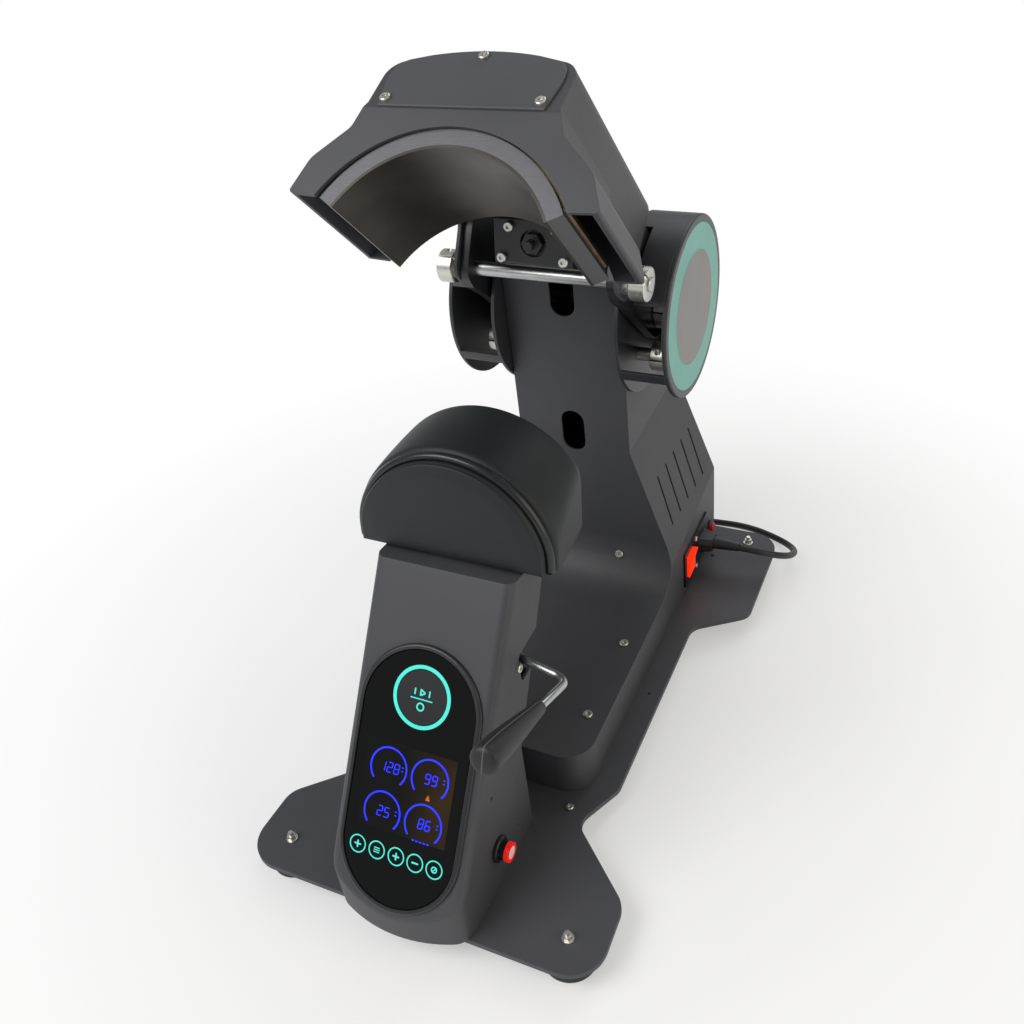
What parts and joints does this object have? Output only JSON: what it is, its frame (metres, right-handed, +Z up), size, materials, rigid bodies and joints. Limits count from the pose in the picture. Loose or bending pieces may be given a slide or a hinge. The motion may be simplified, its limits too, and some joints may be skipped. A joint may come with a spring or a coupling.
{
  "type": "cap heat press",
  "caption": "Cap heat press with a curved heated platen on a hinged head, a padded saddle on a slanted control console, and a rear column with round hinge drums.",
  "frame": {"origin": "centre of the footprint of the machine without its cord, on the surface that its feet stand on", "axes": "+Z up, +Y from the operator towards the column, +X to the operator's right"},
  "size_m": [0.3674, 0.6925, 0.5946],
  "materials": {
    "powder_coat": "fine matt powder coat, dark grey",
    "drum_coat": "satin black powder coat",
    "drum_teal": "satin teal film",
    "drum_grey": "satin warm grey film",
    "zinc_steel": "bright zinc plate",
    "machined_steel": "turned and oiled",
    "frame_coat": "semi-gloss black paint",
    "cast_aluminium": "machined cast aluminium",
    "heater_mica": "mica and foil",
    "nonstick_sheet": "dark non-stick coated glass cloth",
    "saddle_rubber": "smooth black silicone rubber",
    "foot_rubber": "matt black",
    "panel_bezel_plastic": "satin black",
    "panel_glass": "polished black, printed from behind",
    "grip_plastic": "fine matt black",
    "black_plastic": "moulded black",
    "red_plastic": "glossy red",
    "lit_red": "translucent red, lit from inside",
    "pink_red": "glossy pinkish red",
    "board_green": "solder mask",
    "supply_case": "galvanised sheet",
    "cord_rubber": "matt black"
  },
  "bodies": {
    "stand": {"base_plate": "powder_coat", "button_body": "black_plastic", "column_frame": "frame_coat", "console_shell": "powder_coat", "control_board": "board_green", "cord_coil": "cord_rubber", "drive_motor": "black_plastic", "drum_bands": "drum_teal", "drum_centres": "drum_grey", "drum_covers": "drum_coat", "drum_shell_left": "drum_coat", "drum_shell_right": "drum_coat", "foot_bolts": "zinc_steel", "front_skin": "powder_coat", "fuse_cap": "pink_red", "hinge_bearings": "machined_steel", "housing_screws": "zinc_steel", "inlet_body": "black_plastic", "mains_connector": "cord_rubber", "mains_cord": "cord_rubber", "panel_bezel": "panel_bezel_plastic", "power_supply": "supply_case", "rear_panel": "powder_coat", "rubber_feet": "foot_rubber", "saddle_bolts": "zinc_steel", "saddle_end": "saddle_rubber", "saddle_form": "cast_aluminium", "saddle_pad": "saddle_rubber", "saddle_rim": "saddle_rubber", "side_panel_left": "powder_coat", "side_panel_right": "powder_coat", "side_screws": "zinc_steel", "stop_posts": "zinc_steel", "strut_bracket": "frame_coat", "strut_tube": "cast_aluminium", "tension_bearings": "frame_coat", "touch_panel": "panel_glass", "wall_plug": "cord_rubber"},
    "head": {"head_housing": "powder_coat", "head_cover": "powder_coat", "head_screws": "zinc_steel", "platen_block": "cast_aluminium", "platen_liner": "nonstick_sheet", "heater_bands": "heater_mica", "head_carrier": "frame_coat", "pressure_screw": "frame_coat", "hinge_arms": "frame_coat", "arm_hubs": "machined_steel", "cross_rod": "zinc_steel", "rod_collars": "zinc_steel", "hinge_shaft": "machined_steel", "crank": "frame_coat"},
    "strut_piston": {"strut_rod": "machined_steel"},
    "tension_lever": {"lever_rod": "zinc_steel", "lever_grip": "grip_plastic", "tension_shaft": "machined_steel", "tension_cam": "machined_steel"},
    "push_button": {"button_cap": "red_plastic"},
    "power_rocker": {"rocker": "lit_red"}
  },
  "joints": [
    {"name": "head_hinge", "type": "hinge", "parent": "stand", "child": "head", "pos_m": [0, 0.188, 0.342], "axis": [1, 0, 0], "range_deg": [0, 40.9]},
    {"name": "strut_slide", "type": "slide", "parent": "stand", "child": "strut_piston", "axis": [0, 0, 1], "range_m": [0, 0.0316]},
    {"name": "lever_hinge", "type": "hinge", "parent": "stand", "child": "tension_lever", "pos_m": [0, -0.119, 0.194], "axis": [1, 0, 0], "range_deg": [-40, 0]},
    {"name": "button_press", "type": "slide", "parent": "stand", "child": "push_button", "axis": [-1, 0, 0], "range_m": [0, 0.003], "stiffness_N_per_m": 600, "springref_m": -0.002},
    {"name": "rocker_tilt", "type": "hinge", "parent": "stand", "child": "power_rocker", "pos_m": [0.095, 0.178, 0.057], "axis": [0, -1, 0], "range_deg": [0, 14]}
  ],
  "couplings": [
    {"joint": "strut_slide", "follows": "head_hinge", "m_per_rad": 0.044051}
  ]
}
